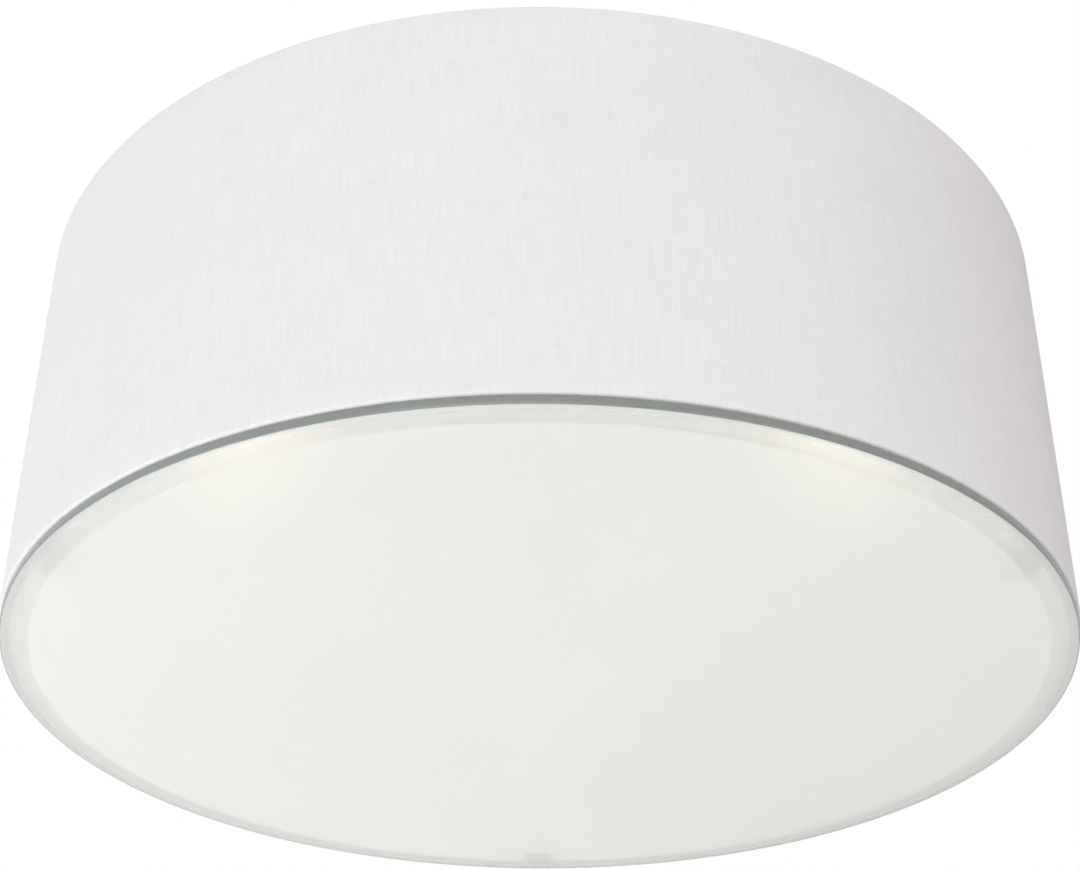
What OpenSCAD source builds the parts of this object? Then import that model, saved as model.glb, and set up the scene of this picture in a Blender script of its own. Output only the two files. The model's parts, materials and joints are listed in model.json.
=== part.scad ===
/* [Shade] */
// Outer diameter of the fabric drum
shade_d = 400; // [380:1:600]
// Height of the fabric drum
shade_h = 154; // [130:1:300]
// Gap between the ceiling and the drum's top edge
ceiling_gap = 1; // [0.5:0.1:5]
// Thickness of the fabric
fabric_t = 0.5; // [0.3:0.05:0.9]
// Thickness of the plastic liner behind the fabric
liner_t = 0.5; // [0.3:0.05:0.9]
// Wire diameter of the top and bottom rings
wire_d = 3.5; // [3:0.1:5]
// Height of fabric turned in behind each ring
hem_turn = 9; // [7:0.5:20]
// Width of the glued overlap at the back
seam_w = 12; // [6:1:30]

/* [Diffuser glass] */
// Thickness of the glass disc
glass_t = 3; // [2:0.1:6]
// How far the glass edge stays inside the fabric's outside
glass_inset = 1; // [0:0.1:4]
// Ground chamfer on the glass edges
glass_arris = 0.4; // [0.1:0.05:0.8]
// Thickness of the steel discs bonded to the glass
keeper_t = 1.5; // [1:0.1:3]
// Diameter of the steel discs bonded to the glass
keeper_d = 14; // [8:0.5:15]

/* [Magnets] */
// Diameter of each magnet
magnet_d = 12; // [8:0.5:13]
// Thickness of each magnet
magnet_t = 4; // [2:0.1:6]
// Wall of the steel cup around each magnet
cup_wall = 1.4; // [0.8:0.1:1.6]
// Width of the tabs that carry the magnets
tab_w = 16; // [10:0.5:24]
// Thickness of the magnet tabs
tab_t = 1.5; // [1:0.1:3]

/* [Ceiling plate] */
// Diameter of the plate
plate_d = 330; // [310:1:350]
// Sheet thickness of the plate
plate_t = 1.2; // [0.8:0.1:2]
// Depth of the turned-down lip
plate_lip = 8; // [5:0.5:12]
// Distance between the two screw slots
slot_spacing = 150; // [145:1:200]
// Length of each screw slot
slot_l = 20; // [10:1:26]
// Width of each screw slot
slot_w = 5.2; // [4:0.1:7]
// Distance from the plate's centre to the cable entry
entry_y = 112; // [106:1:122]
// Hole in the plate for the cable grommet
entry_d = 13; // [11:0.5:15]
// Bore of the cable grommet
grommet_bore = 8; // [5:0.5:9]
// Depth of the dish around the cable entry
dish_depth = 2.5; // [2:0.1:4]
// Diameter of the dish around the cable entry
dish_d = 28; // [26:1:32]

/* [Shade fixing] */
// Distance from the plate's edge in to each stud
stud_inset = 15; // [11:0.5:18]
// Length of the stud's shoulder below the plate
stud_shoulder = 12; // [11.5:0.5:20]
// Diameter of the stud's shoulder
stud_shoulder_d = 8; // [7:0.5:10]
// Diameter of the stud's threaded end
stud_d = 4; // [3:0.5:5]
// Length of the stud's threaded end
stud_l = 16; // [14:1:30]
// Width of the spokes of the top ring
spoke_w = 10; // [8:0.5:12]
// Thickness of the spokes of the top ring
spoke_t = 2; // [1.5:0.1:2.5]
// Diameter of the eye at each spoke's end
eye_d = 14; // [13:0.5:20]
// Diameter of the thumb nuts
nut_d = 16; // [13:0.5:20]
// Height of the thumb nuts
nut_h = 8; // [5:0.5:10]
// Number of grooves around each thumb nut
nut_grooves = 20; // [12:1:24]

/* [Lamp brackets] */
// Distance from the ceiling to the lamp axes
lamp_drop = 66; // [58:1:90]
// Distance from the centre to the lampholders' backs
lamp_r = 32; // [31:0.5:38]
// Width of the bracket strip
bracket_w = 24; // [20:1:28]
// Thickness of the bracket strip
bracket_t = 2; // [1.5:0.1:3]
// Length of the bracket's foot under the plate
bracket_foot = 28; // [26:1:34]
// Outer diameter of the hollow nipple
nipple_d = 10; // [9:0.5:11]
// Bore of the hollow nipple
nipple_bore = 7; // [5.5:0.5:8]
// Width across the flats of the nipple nut
nipple_nut_af = 14; // [13:1:17]

/* [Lampholders] */
// Outer diameter of the lampholder
holder_d = 40.4; // [38:0.2:44]
// Wall of the lampholder
holder_wall = 2; // [1.4:0.1:2.6]
// Length of the lampholder
holder_l = 44; // [42:0.5:50]
// Depth from the lampholder's rim to its centre contact
socket_depth = 24; // [22:0.5:26]
// Thickness of the metal screw shell
shell_t = 0.5; // [0.3:0.05:0.8]

/* [Lamps] */
// Largest diameter of the lamp
bulb_d = 60; // [50:1:65]
// Length of the lamp from contact to tip
bulb_l = 102; // [96:1:108]
// Thread diameter of the lamp cap
cap_d = 26.4; // [26:0.1:26.6]
// Length of the lamp cap from its contact
cap_l = 26; // [25:0.5:30]
// Pitch of the cap's thread
cap_pitch = 3.63; // [3:0.01:4]
// Wall of the lamp's dome and body
bulb_wall = 1.2; // [0.8:0.1:2]
// Thickness of the lamp's circuit board
board_t = 1.6; // [1:0.1:2]

/* [Wiring] */
// Width of the terminal block
block_w = 40; // [38:1:50]
// Depth of the terminal block
block_d = 24; // [22:1:28]
// Height of the terminal block
block_h = 15.6; // [14:0.2:20]
// Distance between the terminal block's poles
pole_pitch = 12; // [11:0.5:13]
// Diameter of the brass terminal barrels
barrel_d = 7; // [6:0.5:8]
// Diameter of each lamp lead
lead_d = 4; // [3:0.1:4.2]
// Diameter of the earth lead
earth_d = 2.6; // [2:0.1:3]

/* [Hidden] */

// Round surfaces: large rings, middle sizes, small fasteners
large_fn = 240;
middle_fn = 96;
small_fn = 36;

// Overshoot of a cut past the face it opens
cut = 0.5;
// Glue line between shade layers, and play around wires and inserts
bond = 0.1;
// Play between a screw and its hole, and between stacked small parts
screw_play = 0.1;
seat_play = 0.05;
// Running play between a nut and its stud, as a radius
running_play = 0.05;
// Gap between pieces that move apart: glass and hem, magnet and keeper, lamp and contact
rest_gap = 0.3;

// Angles around the fixture
lamp_angles = [90, 210, 330];
stud_angles = [30, 150, 270];
magnet_angles = [90, 210, 330];
seam_angle = 90;

// Shade, from the outside in and from the ceiling down
shade_r = shade_d / 2;
shade_top = -ceiling_gap;
shade_bottom = shade_top - shade_h;
liner_out_r = shade_r - fabric_t - bond;
liner_in_r = liner_out_r - liner_t;
wire_r = liner_in_r - bond - wire_d / 2;
hem_out_r = wire_r - wire_d / 2 - bond;
hem_in_r = hem_out_r - fabric_t;
hem_round = 1.6 * fabric_t;
wire_top_z = shade_top - fabric_t - bond - wire_d / 2;
wire_bottom_z = shade_bottom + fabric_t + bond + wire_d / 2;
notch_side = 1;

// Glass and what holds it
glass_r = shade_r - glass_inset;
glass_top = shade_bottom - rest_gap;
glass_bottom = glass_top - glass_t;
cup_d = magnet_d + 2 * (cup_wall + bond);
cup_roof = 1.1;
cup_h = magnet_t + bond + cup_roof;
cup_bottom = glass_top + keeper_t + rest_gap;
cup_top = cup_bottom + cup_h;
magnet_r = hem_in_r - rest_gap - cup_d / 2;

// Shade fixing
stud_r = plate_d / 2 - stud_inset;
shoulder_z = -plate_t - stud_shoulder;
spoke_z = shoulder_z - spoke_t / 2;
spoke_rise_run = 14;
spoke_bend_r = wire_r - spoke_rise_run;
stud_step = 3;
stud_hole_d = stud_shoulder_d - stud_step;
washer_inset = 2;
washer_d = nut_d - 2 * washer_inset;
washer_t = 1;
washer_z = shoulder_z - spoke_t - seat_play;
nut_z = washer_z - washer_t - 2 * seat_play;
groove_d = 1.4;
groove_out = 0.2;
nut_collar = 1;

// Fasteners of the plate
plate_bend = 2.5;
bracket_screw_d = 4;
bracket_screw_head_d = 7.5;
bracket_screw_head_h = 2.4;
bracket_screw_r = [lamp_r + 8, lamp_r + 18];
flush = 0.1;
// Driver slot in a screw head, and the head of the earth screw
driver_slot_w = 1;
earth_head_d = 7.5;
earth_head_h = 2.4;
// Cable grommet
flange_t = 1.4;
flange_over = 2.5;
neck_over = 1;

// Lamp bracket, lampholder and lamp, measured along the lamp axis from the holder's back
leg_end = 13;
leg_chamfer = 6;
gusset = 6;
gusset_t = 2;
weld = 1;
nipple_back = 9;
holder_floor = 6;
nipple_nut_h = 3.5;
holder_r = holder_d / 2;
holder_in_r = holder_r - holder_wall;
holder_back_r = 11;
holder_rim = 0.6;
holder_groove = 0.4;
holder_groove_gap = 6;
chamber_wall = 3;
chamber_floor = 2;
contact_s = holder_l - socket_depth;
base_face_s = contact_s - 1;
base_t = 5.5;
base_back_s = base_face_s - base_t;
shell_in_r = cap_d / 2 + 0.4;
shell_end_s = holder_l - 2;
shell_flange = 1.6;
shell_flange_t = 1;
terminal_hole_d = 3.4;
terminal_hole_r = 8;
// Spring strip of the centre contact, along and across the lamp axis
strip_w = 5;
strip_t = 0.5;
strip_out = 10;
strip_bend = 5;
strip_tip = 4;
lamp_s = contact_s + rest_gap;
cap_r = cap_d / 2;
cap_root = 0.9;
cap_inner_r = cap_r - cap_root - 0.4;
cap_start = 5.5;
button_r = 4.5;
button_edge = 0.8;
foot_over = 3;
cap_turns = 4;
body_neck = 7;
body_step = 0.6;
bulb_r = bulb_d / 2;
dome_centre = bulb_l - bulb_r;
dome_start = dome_centre - bulb_r / 3;
dome_start_r = sqrt(bulb_r * bulb_r - pow(dome_centre - dome_start, 2));
board_r = dome_start_r - bulb_wall - 2;
deck_t = 1.5;
chips = 10;
chip = 2.8;
chip_t = 0.7;
chip_ring = 0.7;

// Terminal block and earth point
block_y = -70;
block_z = -plate_t - block_h / 2;
barrel_l = block_d - 4;
barrel_bore = 4.4;
terminal_screw_d = 3.2;
terminal_screw_y = 5.5;
block_screw_d = 3;
block_screw_head_h = 1.8;
block_recess = 3;
block_recess_d = pole_pitch - barrel_d - 1;
block_notch = 1;
block_notch_depth = 0.8;
screw_sink = 1;
earth_entry = 2;
earth_gap = 24;
earth_pos = [block_w / 2 + earth_gap, block_y];
earth_screw_d = 4;
tag_t = 0.8;
tag_d = 9;
tag_tail = 7;
tag_tail_w = 3.2;

// Lead routes: from the wiring chamber of each lampholder to the terminal block
lead_route_1 = [
    [0, 43, -66], [0, 34, -66], [0, 25, -66], [0, 18, -64], [0, 12, -59], [0, 9, -52],
    [0, 8, -44], [0, 7, -35], [0, 5, -26], [0, 1, -18], [0, -6, -12], [0, -15, -9],
    [0, -26, -9], [0, -37, -9], [0, -48, -9], [0, -59.5, -9]
];
lead_route_2 = [
    [-37.2, -21.5, -66], [-29.4, -17, -66], [-21.7, -12.5, -66], [-15.6, -9, -64],
    [-10.4, -6, -59], [-7.8, -4.5, -52], [-7, -4.5, -44], [-7, -5, -35], [-8, -7, -26],
    [-9, -11, -18], [-10, -18, -12], [-11, -27, -9], [-12, -37, -9], [-12, -48, -9],
    [-12, -59.5, -9]
];
lead_route_3 = [for (p = lead_route_2) [-p[0], p[1], p[2]]];
earth_route = [
    [19, -70, -9], [23, -70, -9], [27, -70, -8.4], [31, -70, -6.6], [35, -70, -4.4], [39, -70, -3.5]
];
clip_y = -40;
clip_t = 1.2;
clip_w = 8;
clip_foot = 5;
clip_gap = 2;

// Points on an arc about [cx, cy]
function arc(cx, cy, r, from, to, steps) =
    [for (i = [0 : steps]) let (a = from + (to - from) * i / steps) [cx + r * cos(a), cy + r * sin(a)]];

// Smooth radius between two ends with given slopes, t from 0 to 1
function ease(r0, r1, slope0, slope1, length, t) =
    r0 * (2 * t * t * t - 3 * t * t + 1) + slope0 * length * (t * t * t - 2 * t * t + t)
    + r1 * (3 * t * t - 2 * t * t * t) + slope1 * length * (t * t * t - t * t);

function unit(v) = v / norm(v);

function route_direction(route, i) =
    unit(route[min(i + 1, len(route) - 1)] - route[max(i - 1, 0)]);

// One ring of tube points about a route point
function tube_ring(point, direction, side, r, sides) =
    let (u = unit(cross(direction, side)), v = cross(direction, u))
    [for (k = [0 : sides - 1]) point + r * (cos(360 * k / sides) * u + sin(360 * k / sides) * v)];

// Closed tube along a route; side is a direction the route never follows
module tube(route, d, side) {
    sides = 8;
    rings = len(route);
    points = [for (i = [0 : rings - 1])
        each tube_ring(route[i], route_direction(route, i), side, d / 2, sides)];
    walls = [for (i = [0 : rings - 2], k = [0 : sides - 1])
        let (a = i * sides + k, b = i * sides + (k + 1) % sides)
        each [[a, a + sides, b], [b, a + sides, b + sides]]];
    first_cap = [for (k = [1 : sides - 2]) [0, k, k + 1]];
    last = (rings - 1) * sides;
    last_cap = [for (k = [1 : sides - 2]) [last, last + k + 1, last + k]];
    polyhedron(points, concat(walls, first_cap, last_cap));
}

module ring(outer_d, inner_d, h) {
    difference() {
        cylinder(d = outer_d, h = h, $fn = middle_fn);
        translate([0, 0, -cut]) cylinder(d = inner_d, h = h + 2 * cut, $fn = middle_fn);
    }
}

// Pan-head screw standing up from its head's underside at z = 0, with a slot in the head
module screw(d, l, head_d, head_h) {
    difference() {
        union() {
            cylinder(d = d, h = l, $fn = small_fn);
            translate([0, 0, -head_h]) cylinder(d = head_d, h = head_h, $fn = small_fn);
        }
        translate([-head_d, -driver_slot_w / 2, -head_h - cut])
            cube([2 * head_d, driver_slot_w, head_h / 2 + cut]);
    }
}

// Places its children at one angle and radius around the fixture
module around(angle, r) {
    rotate([0, 0, angle]) translate([r, 0, 0]) children();
}

// Turns the children's +Z along a lamp's axis, pointing out from the centre
module on_lamp(i) {
    rotate([0, 0, lamp_angles[i]]) translate([lamp_r, 0, -lamp_drop]) rotate([0, 90, 0]) children();
}

module ceiling_plate() {
    r = plate_d / 2;
    color("white")
    difference() {
        union() {
            rotate_extrude($fn = large_fn) polygon(concat(
                [[0, -plate_t], [0, 0]],
                arc(r - plate_bend, -plate_bend, plate_bend, 90, 0, 6),
                [[r, -plate_lip], [r - plate_t, -plate_lip]],
                arc(r - plate_bend, -plate_bend, plate_bend - plate_t, 0, 90, 6)
            ));
            translate([0, -entry_y, -dish_depth - plate_t])
                cylinder(d = dish_d, h = dish_depth + plate_t / 2, $fn = middle_fn);
        }
        translate([0, -entry_y, -dish_depth])
            cylinder(d = dish_d - 2 * plate_t, h = dish_depth + cut, $fn = middle_fn);
        translate([0, -entry_y, -dish_depth - plate_t - cut])
            cylinder(d = entry_d, h = dish_depth + plate_t, $fn = middle_fn);
        for (side = [-1, 1]) translate([side * slot_spacing / 2, 0, -plate_t - cut]) plate_slot();
        for (angle = lamp_angles, r = bracket_screw_r) around(angle, r) plate_hole(bracket_screw_d);
        for (angle = stud_angles) around(angle, stud_r) plate_hole(stud_hole_d);
        for (side = [-1, 1]) translate([side * pole_pitch / 2, block_y, 0]) plate_hole(block_screw_d);
        translate(earth_pos) plate_hole(earth_screw_d);
    }
}

module plate_hole(d) {
    translate([0, 0, -plate_t - cut]) cylinder(d = d + 2 * screw_play, h = plate_t + 2 * cut, $fn = small_fn);
}

module plate_slot() {
    run = (slot_l - slot_w) / 2;
    h = plate_t + 2 * cut;
    translate([-run, -slot_w / 2, 0]) cube([2 * run, slot_w, h]);
    for (side = [-1, 1]) translate([side * run, 0, 0]) cylinder(d = slot_w, h = h, $fn = small_fn);
}

module cable_grommet() {
    flange_d = entry_d + 2 * flange_over;
    neck_d = entry_d - 2 * screw_play;
    neck_h = plate_t + 2 * neck_over;
    color("dimgray")
    translate([0, -entry_y, -dish_depth])
    difference() {
        union() {
            translate([0, 0, seat_play]) cylinder(d = flange_d, h = flange_t, $fn = middle_fn);
            translate([0, 0, -plate_t - neck_over]) cylinder(d = neck_d, h = neck_h, $fn = middle_fn);
            translate([0, 0, -plate_t - flange_t - seat_play])
                cylinder(d = flange_d, h = flange_t, $fn = middle_fn);
        }
        translate([0, 0, -plate_t - flange_t - cut])
            cylinder(d = grommet_bore, h = neck_h + 2 * flange_t, $fn = middle_fn);
    }
}

module at_block() {
    translate([0, block_y, block_z]) children();
}

module terminal_block() {
    entry = lead_d + 4 * screw_play;
    color("whitesmoke")
    at_block()
    difference() {
        translate([-block_w / 2, -block_d / 2, -block_h / 2]) cube([block_w, block_d, block_h]);
        for (pole = [-1, 0, 1]) translate([pole * pole_pitch, 0, 0]) {
            rotate([90, 0, 0])
                cylinder(d = barrel_d + 2 * bond, h = barrel_l + 2 * bond, center = true, $fn = small_fn);
            rotate([90, 0, 0]) cylinder(d = entry, h = block_d + 2 * cut, center = true, $fn = small_fn);
            for (side = [-1, 1]) translate([0, side * terminal_screw_y, -block_h / 2 - cut])
                cylinder(d = terminal_screw_d + 1, h = block_h / 2 + cut, $fn = small_fn);
        }
        for (side = [-1, 1]) translate([side * pole_pitch / 2, 0, -block_h / 2 - cut]) {
            cylinder(d = block_screw_d + 4 * screw_play, h = block_h + 2 * cut, $fn = small_fn);
            cylinder(d = block_recess_d, h = block_recess + cut, $fn = small_fn);
        }
        translate([block_w / 2 - earth_entry, 0, 0]) rotate([0, 90, 0])
            cylinder(d = earth_d + 4 * screw_play, h = earth_entry + cut, $fn = small_fn);
        for (side = [-1, 1], pole = [-1, 1]) translate([pole * pole_pitch / 2, side * block_d / 2, 0])
            cube([block_notch, 2 * block_notch_depth, block_h + 2 * cut], center = true);
    }
}

module terminal_barrels() {
    color("goldenrod")
    at_block()
    for (pole = [-1, 0, 1]) translate([pole * pole_pitch, 0, 0])
    difference() {
        rotate([90, 0, 0]) cylinder(d = barrel_d, h = barrel_l, center = true, $fn = small_fn);
        rotate([90, 0, 0]) cylinder(d = barrel_bore, h = barrel_l + 2 * cut, center = true, $fn = small_fn);
        for (side = [-1, 1]) translate([0, side * terminal_screw_y, -barrel_d])
            cylinder(d = terminal_screw_d + 2 * screw_play, h = barrel_d, $fn = small_fn);
    }
}

module terminal_screws() {
    tip = 1.6;
    length = block_h / 2 - tip - screw_sink;
    driver_slot = 0.7;
    color("silver")
    at_block()
    for (pole = [-1, 0, 1], side = [-1, 1])
        translate([pole * pole_pitch, side * terminal_screw_y, -block_h / 2 + screw_sink])
        difference() {
            cylinder(d = terminal_screw_d, h = length, $fn = small_fn);
            translate([-terminal_screw_d, -driver_slot / 2, -cut])
                cube([2 * terminal_screw_d, driver_slot, driver_slot + cut]);
        }
}

module block_screws() {
    head_z = block_z - block_h / 2 + block_recess;
    color("silver")
    for (side = [-1, 1]) translate([side * pole_pitch / 2, block_y, head_z])
        screw(block_screw_d, -head_z - flush, block_recess_d - 4 * screw_play, block_screw_head_h);
}

module earth_screw() {
    head_z = -plate_t - tag_t - 2 * seat_play;
    color("silver")
    translate([earth_pos[0], earth_pos[1], head_z])
        screw(earth_screw_d, -head_z - flush, earth_head_d, earth_head_h);
}

module earth_tag() {
    color("goldenrod")
    translate([earth_pos[0], earth_pos[1], -plate_t - tag_t - seat_play])
    difference() {
        union() {
            cylinder(d = tag_d, h = tag_t, $fn = small_fn);
            translate([-tag_tail, -tag_tail_w / 2, 0]) cube([tag_tail, tag_tail_w, tag_t]);
        }
        translate([0, 0, -cut])
            cylinder(d = earth_screw_d + 2 * screw_play, h = tag_t + 2 * cut, $fn = small_fn);
    }
}

module earth_lead() {
    color("yellowgreen") tube(earth_route, earth_d, [0, 1, 0]);
}

module lamp_bracket(i) {
    drop = lamp_drop - plate_t;
    half = bracket_w / 2;
    color("gainsboro")
    rotate([0, 0, lamp_angles[i]])
    difference() {
        union() {
            translate([lamp_r - bracket_t, 0, 0]) rotate([90, 0, 90]) linear_extrude(bracket_t) polygon([
                [-half, -plate_t], [half, -plate_t],
                [half, -lamp_drop - leg_end + leg_chamfer], [half - leg_chamfer, -lamp_drop - leg_end],
                [leg_chamfer - half, -lamp_drop - leg_end], [-half, -lamp_drop - leg_end + leg_chamfer]
            ]);
            translate([lamp_r - bracket_t, 0, -plate_t - bracket_t]) linear_extrude(bracket_t) polygon([
                [0, -half], [bracket_foot + bracket_t - leg_chamfer / 2, -half],
                [bracket_foot + bracket_t, leg_chamfer / 2 - half],
                [bracket_foot + bracket_t, half - leg_chamfer / 2],
                [bracket_foot + bracket_t - leg_chamfer / 2, half], [0, half]
            ]);
            for (side = [-1, 1])
                translate([lamp_r, side * (half - gusset_t) - gusset_t / 2, -plate_t - bracket_t])
                rotate([-90, 0, 0]) linear_extrude(gusset_t)
                polygon([[-weld, -weld], [gusset, -weld], [gusset, 0], [0, gusset], [-weld, gusset]]);
        }
        translate([lamp_r - bracket_t - cut, 0, -lamp_drop]) rotate([0, 90, 0])
            cylinder(d = nipple_d + 2 * screw_play, h = bracket_t + 2 * cut, $fn = middle_fn);
        for (r = bracket_screw_r) translate([r, 0, -plate_t - bracket_t - cut])
            cylinder(d = bracket_screw_d + 2 * screw_play, h = bracket_t + 2 * cut, $fn = small_fn);
    }
}

module bracket_screws() {
    head_z = -plate_t - bracket_t - seat_play;
    color("silver")
    for (angle = lamp_angles, r = bracket_screw_r) around(angle, r) translate([0, 0, head_z])
        screw(bracket_screw_d, -head_z - flush, bracket_screw_head_d, bracket_screw_head_h);
}

module holder_nipples() {
    color("goldenrod")
    for (i = [0 : 2]) on_lamp(i) translate([0, 0, -nipple_back])
        ring(nipple_d, nipple_bore, nipple_back + holder_floor + cut);
}

module nipple_nuts() {
    color("goldenrod")
    for (i = [0 : 2]) on_lamp(i) translate([0, 0, -bracket_t - seat_play - nipple_nut_h])
    difference() {
        cylinder(d = nipple_nut_af / cos(30), h = nipple_nut_h, $fn = 6);
        translate([0, 0, -cut])
            cylinder(d = nipple_d + 2 * screw_play, h = nipple_nut_h + 2 * cut, $fn = middle_fn);
    }
}

module lampholder(i) {
    shoulder = holder_r - holder_back_r;
    rim = holder_rim;
    groove = holder_groove;
    groove_s = shoulder + holder_groove_gap;
    chamber_r = holder_in_r - chamber_wall;
    bore_r = nipple_d / 2 + screw_play;
    color("white")
    on_lamp(i)
    rotate_extrude($fn = middle_fn) polygon(concat(
        [[bore_r, 0]],
        arc(holder_back_r, shoulder, shoulder, -90, 0, 8),
        [
            [holder_r, groove_s], [holder_r - groove, groove_s + groove],
            [holder_r - groove, groove_s + 2 * groove], [holder_r, groove_s + 3 * groove],
            [holder_r, holder_l - rim], [holder_r - rim, holder_l], [holder_in_r, holder_l],
            [holder_in_r, base_back_s], [chamber_r, base_back_s],
            [chamber_r, holder_floor + chamber_floor], [chamber_r - chamber_wall, holder_floor],
            [bore_r, holder_floor]
        ]
    ));
}

module contact_base(i) {
    color("ivory")
    on_lamp(i)
    difference() {
        translate([0, 0, base_back_s]) cylinder(r = holder_in_r - 2 * bond, h = base_t, $fn = middle_fn);
        for (side = [-1, 1]) translate([0, side * terminal_hole_r, base_back_s - cut])
            cylinder(d = terminal_hole_d, h = base_t + 2 * cut, $fn = small_fn);
    }
}

module screw_shell(i) {
    shell_l = shell_end_s - base_face_s - seat_play;
    color("silver")
    on_lamp(i)
    translate([0, 0, base_face_s + seat_play]) {
        difference() {
            union() {
                cylinder(r = shell_in_r + shell_t, h = shell_l, $fn = middle_fn);
                cylinder(r = shell_in_r + shell_t + shell_flange, h = shell_flange_t, $fn = middle_fn);
            }
            translate([0, 0, -cut]) cylinder(r = shell_in_r, h = shell_l + 2 * cut, $fn = middle_fn);
        }
    }
}

module centre_contact(i) {
    rise = contact_s - base_face_s - strip_t;
    color("goldenrod")
    on_lamp(i)
    translate([0, strip_w / 2, 0]) rotate([90, 0, 0]) linear_extrude(strip_w) polygon([
        [-strip_out, base_face_s], [-strip_bend, base_face_s], [strip_tip, base_face_s + rise],
        [strip_tip, contact_s], [-strip_bend, base_face_s + strip_t], [-strip_out, base_face_s + strip_t]
    ]);
}

module lamp_lead(route) {
    color("whitesmoke") tube(route, lead_d, [1, 0, 0]);
}

module lead_clip() {
    half = pole_pitch + lead_d / 2 + clip_gap;
    top = -plate_t;
    floor_z = block_z - lead_d / 2 - bond - clip_t;
    color("white")
    translate([0, clip_y, 0]) {
        for (side = [-1, 1]) translate([side * (half + clip_t / 2) - clip_t / 2, -clip_w / 2, floor_z])
            cube([clip_t, clip_w, top - floor_z]);
        translate([-half - clip_t / 2, -clip_w / 2, floor_z]) cube([2 * half + clip_t, clip_w, clip_t]);
        for (side = [-1, 1])
            translate([side * (half + clip_foot / 2) - clip_foot / 2, -clip_w / 2, top - clip_t])
            cube([clip_foot, clip_w, clip_t]);
    }
}

// A lamp's parts share its axis, with z = 0 at the tip of its contact
module on_bulb(i) {
    on_lamp(i) translate([0, 0, lamp_s]) children();
}

module bulb_foot(i) {
    neck_r = cap_inner_r - bond;
    color("black")
    on_bulb(i)
    rotate_extrude($fn = middle_fn) polygon([
        [0, 0], [button_r - button_edge, 0], [button_r, button_edge], [button_r, 2 * button_edge],
        [button_r + button_edge, 2 * button_edge], [neck_r, cap_start - seat_play],
        [neck_r, cap_start + foot_over], [0, cap_start + foot_over]
    ]);
}

// Radius of the cap's rounded thread at a height
function thread_r(z) = cap_r - cap_root / 2 - cap_root / 2 * cos(360 * z / cap_pitch);

module bulb_cap(i) {
    thread_l = cap_turns * cap_pitch;
    steps = 48;
    skirt = cap_l - cap_start - thread_l;
    color("silver")
    on_bulb(i)
    translate([0, 0, cap_start])
    rotate_extrude($fn = middle_fn) polygon(concat(
        [[cap_inner_r, 0]],
        [for (k = [0 : steps]) [thread_r(thread_l * k / steps), thread_l * k / steps]],
        [[cap_r - cap_root, thread_l + skirt], [cap_inner_r, thread_l + skirt]]
    ));
}

// Outside radius of the lamp's body at a share t of its length
function body_r(t) = ease(cap_r + body_step, dome_start_r, 0.2, (dome_centre - dome_start) / dome_start_r,
    dome_start - cap_l, t);

module bulb_body(i) {
    steps = 16;
    length = dome_start - cap_l;
    neck_r = cap_inner_r - bond;
    board_z = dome_start - board_t;
    deck_z = board_z - deck_t;
    hollow_steps = 13;
    share_end = (deck_z - cap_l) / length;
    recess_r = board_r + rest_gap;
    color("white")
    on_bulb(i)
    rotate_extrude($fn = middle_fn) polygon(concat(
        [[neck_r - bulb_wall, cap_l - body_neck], [neck_r, cap_l - body_neck], [neck_r, cap_l + seat_play]],
        [for (k = [0 : steps]) let (t = k / steps) [body_r(t), cap_l + seat_play + (length - seat_play) * t]],
        [[recess_r, dome_start], [recess_r, board_z], [0, board_z], [0, deck_z]],
        [for (k = [hollow_steps : -1 : 1]) let (t = share_end * k / hollow_steps)
            [body_r(t) - bulb_wall - 1, cap_l + length * t]],
        [[neck_r - bulb_wall, cap_l]]
    ));
}

module led_board(i) {
    color("gainsboro")
    on_bulb(i)
    translate([0, 0, dome_start - board_t + seat_play]) {
        cylinder(r = board_r, h = board_t - 2 * seat_play, $fn = middle_fn);
        for (k = [0 : chips - 1]) rotate([0, 0, 360 * k / chips])
            translate([board_r * chip_ring, 0, board_t - cut + chip_t / 2])
            cube([chip, chip, chip_t + cut], center = true);
    }
}

module bulb_dome(i) {
    steps = 18;
    start_angle = -asin((dome_centre - dome_start) / bulb_r);
    inner_r = bulb_r - bulb_wall;
    inner_start = -asin((dome_centre - dome_start - seat_play) / inner_r);
    color("white")
    on_bulb(i)
    rotate_extrude($fn = middle_fn) polygon(concat(
        [for (k = [0 : steps]) let (a = inner_start + (90 - inner_start) * k / steps)
            [k == steps ? 0 : inner_r * cos(a), dome_centre + inner_r * sin(a)]],
        [for (k = [steps : -1 : 0]) let (a = start_angle + (90 - start_angle) * k / steps)
            [k == steps ? 0 : bulb_r * cos(a), max(dome_centre + bulb_r * sin(a), dome_start + seat_play)]]
    ));
}

module shade_studs() {
    color("silver")
    for (angle = stud_angles) around(angle, stud_r) {
        translate([0, 0, -plate_t - cut]) cylinder(d = stud_hole_d, h = plate_t + cut - flush, $fn = small_fn);
        translate([0, 0, shoulder_z]) cylinder(d = stud_shoulder_d, h = stud_shoulder, $fn = middle_fn);
        translate([0, 0, shoulder_z - stud_l]) cylinder(d = stud_d, h = stud_l + cut, $fn = middle_fn);
    }
}

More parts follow.
